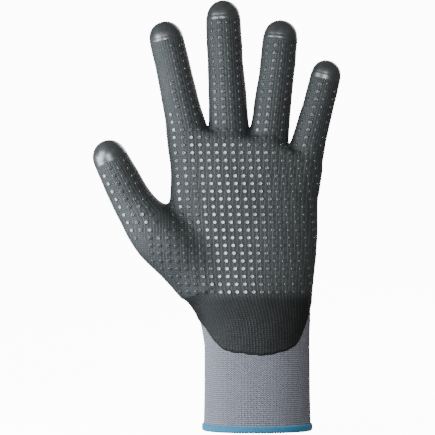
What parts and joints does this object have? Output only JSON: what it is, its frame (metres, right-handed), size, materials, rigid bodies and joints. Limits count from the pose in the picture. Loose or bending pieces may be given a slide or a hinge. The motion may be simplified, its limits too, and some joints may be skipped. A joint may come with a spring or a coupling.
{
  "type": "coated knitted work glove",
  "caption": "Left-hand work glove in its worn shape: grey knitted liner, dark foam coating on the palm side with round grip dots, elastic cuff with a blue overlocked edge.",
  "frame": {"origin": "centre of the cuff's opening, at the hem's lower edge", "axes": "+Z along the hand to the fingertips, -Y out of the palm, -X towards the thumb"},
  "size_m": [0.144, 0.0455, 0.2503],
  "materials": {
    "knit": "matte fine rib knit",
    "elastane": "satin covered yarn",
    "hem_yarn": "overlocked yarn",
    "nitrile_foam": "matte micro-foam",
    "nitrile_dots": "glossy"
  },
  "bodies": {
    "cuff": {"cuff_knit": "knit", "cuff_elastic": "elastane", "cuff_hem": "hem_yarn", "wrist_fold": "knit"},
    "palm": {"palm_liner": "knit", "palm_coating": "nitrile_foam", "palm_dots": "nitrile_dots"},
    "index_base": {"index_base_liner": "knit", "index_base_coating": "nitrile_foam", "index_base_dots": "nitrile_dots"},
    "index_middle": {"index_middle_liner": "knit", "index_middle_coating": "nitrile_foam", "index_middle_dots": "nitrile_dots"},
    "index_tip": {"index_tip_liner": "knit", "index_tip_coating": "nitrile_foam", "index_tip_dots": "nitrile_dots"},
    "middle_base": {"middle_base_liner": "knit", "middle_base_coating": "nitrile_foam", "middle_base_dots": "nitrile_dots"},
    "middle_middle": {"middle_middle_liner": "knit", "middle_middle_coating": "nitrile_foam", "middle_middle_dots": "nitrile_dots"},
    "middle_tip": {"middle_tip_liner": "knit", "middle_tip_coating": "nitrile_foam", "middle_tip_dots": "nitrile_dots"},
    "ring_base": {"ring_base_liner": "knit", "ring_base_coating": "nitrile_foam", "ring_base_dots": "nitrile_dots"},
    "ring_middle": {"ring_middle_liner": "knit", "ring_middle_coating": "nitrile_foam", "ring_middle_dots": "nitrile_dots"},
    "ring_tip": {"ring_tip_liner": "knit", "ring_tip_coating": "nitrile_foam", "ring_tip_dots": "nitrile_dots"},
    "little_base": {"little_base_liner": "knit", "little_base_coating": "nitrile_foam", "little_base_dots": "nitrile_dots"},
    "little_middle": {"little_middle_liner": "knit", "little_middle_coating": "nitrile_foam", "little_middle_dots": "nitrile_dots"},
    "little_tip": {"little_tip_liner": "knit", "little_tip_coating": "nitrile_foam", "little_tip_dots": "nitrile_dots"},
    "thumb_base": {"thumb_base_liner": "knit", "thumb_base_coating": "nitrile_foam", "thumb_base_dots": "nitrile_dots"},
    "thumb_tip": {"thumb_tip_liner": "knit", "thumb_tip_coating": "nitrile_foam", "thumb_tip_dots": "nitrile_dots"}
  },
  "joints": [
    {"name": "wrist_bend", "type": "hinge", "parent": "cuff", "child": "palm", "pos_m": [0, 0, 0.06], "axis": [1, 0, 0], "range_deg": [-25, 25], "deforming": ["wrist_fold", "palm_coating", "palm_dots"]},
    {"name": "index_knuckle", "type": "hinge", "parent": "palm", "child": "index_base", "pos_m": [-0.04181, -0.0025, 0.17883], "axis": [1, 0, 0], "range_deg": [0, 65], "deforming": ["index_base_coating", "index_base_dots"]},
    {"name": "index_middle_joint", "type": "hinge", "parent": "index_base", "child": "index_middle", "pos_m": [-0.0455, -0.0025, 0.19543], "axis": [0.9763, 0, 0.2164], "range_deg": [0, 80], "deforming": ["index_middle_coating", "index_middle_dots"]},
    {"name": "index_end_joint", "type": "hinge", "parent": "index_middle", "child": "index_tip", "pos_m": [-0.05004, -0.0025, 0.21593], "axis": [0.9763, 0, 0.2164], "range_deg": [0, 48], "deforming": ["index_tip_coating", "index_tip_dots"]},
    {"name": "middle_knuckle", "type": "hinge", "parent": "palm", "child": "middle_base", "pos_m": [-0.01657, -0.0025, 0.17999], "axis": [1, 0, 0], "range_deg": [0, 65], "deforming": ["middle_base_coating", "middle_base_dots"]},
    {"name": "middle_middle_joint", "type": "hinge", "parent": "middle_base", "child": "middle_middle", "pos_m": [-0.01764, -0.0025, 0.20056], "axis": [0.9986, 0, 0.0523], "range_deg": [0, 80], "deforming": ["middle_middle_coating", "middle_middle_dots"]},
    {"name": "middle_end_joint", "type": "hinge", "parent": "middle_middle", "child": "middle_tip", "pos_m": [-0.01889, -0.0025, 0.22443], "axis": [0.9986, 0, 0.0523], "range_deg": [0, 48], "deforming": ["middle_tip_coating", "middle_tip_dots"]},
    {"name": "ring_knuckle", "type": "hinge", "parent": "palm", "child": "ring_base", "pos_m": [0.00783, -0.0025, 0.17794], "axis": [1, 0, 0], "range_deg": [0, 65], "deforming": ["ring_base_coating", "ring_base_dots"]},
    {"name": "ring_middle_joint", "type": "hinge", "parent": "ring_base", "child": "ring_middle", "pos_m": [0.00967, -0.0025, 0.19383], "axis": [0.9934, 0, -0.1149], "range_deg": [0, 80], "deforming": ["ring_middle_coating", "ring_middle_dots"]},
    {"name": "ring_end_joint", "type": "hinge", "parent": "ring_middle", "child": "ring_tip", "pos_m": [0.01218, -0.0025, 0.21549], "axis": [0.9934, 0, -0.1149], "range_deg": [0, 48], "deforming": ["ring_tip_coating", "ring_tip_dots"]},
    {"name": "little_knuckle", "type": "hinge", "parent": "palm", "child": "little_base", "pos_m": [0.03027, -0.0025, 0.16782], "axis": [1, 0, 0], "range_deg": [0, 65], "deforming": ["little_base_coating", "little_base_dots"]},
    {"name": "little_middle_joint", "type": "hinge", "parent": "little_base", "child": "little_middle", "pos_m": [0.03358, -0.0025, 0.1809], "axis": [0.9694, 0, -0.2453], "range_deg": [0, 75], "deforming": ["little_middle_coating", "little_middle_dots"]},
    {"name": "little_end_joint", "type": "hinge", "parent": "little_middle", "child": "little_tip", "pos_m": [0.03771, -0.0025, 0.19719], "axis": [0.9694, 0, -0.2453], "range_deg": [0, 45], "deforming": ["little_tip_coating", "little_tip_dots"]},
    {"name": "thumb_knuckle", "type": "hinge", "parent": "palm", "child": "thumb_base", "pos_m": [-0.06811, -0.0087, 0.12733], "axis": [0.7448, 0.4951, 0.4474], "range_deg": [0, 40], "deforming": ["thumb_base_coating", "thumb_base_dots"]},
    {"name": "thumb_end_joint", "type": "hinge", "parent": "thumb_base", "child": "thumb_tip", "pos_m": [-0.07427, -0.01065, 0.13975], "axis": [0.7448, 0.4951, 0.4474], "range_deg": [0, 55], "deforming": ["thumb_tip_coating", "thumb_tip_dots"]}
  ],
  "couplings": [
    {"joint": "index_end_joint", "follows": "index_middle_joint", "ratio": 0.6},
    {"joint": "middle_end_joint", "follows": "middle_middle_joint", "ratio": 0.6},
    {"joint": "ring_end_joint", "follows": "ring_middle_joint", "ratio": 0.6},
    {"joint": "little_end_joint", "follows": "little_middle_joint", "ratio": 0.6}
  ]
}
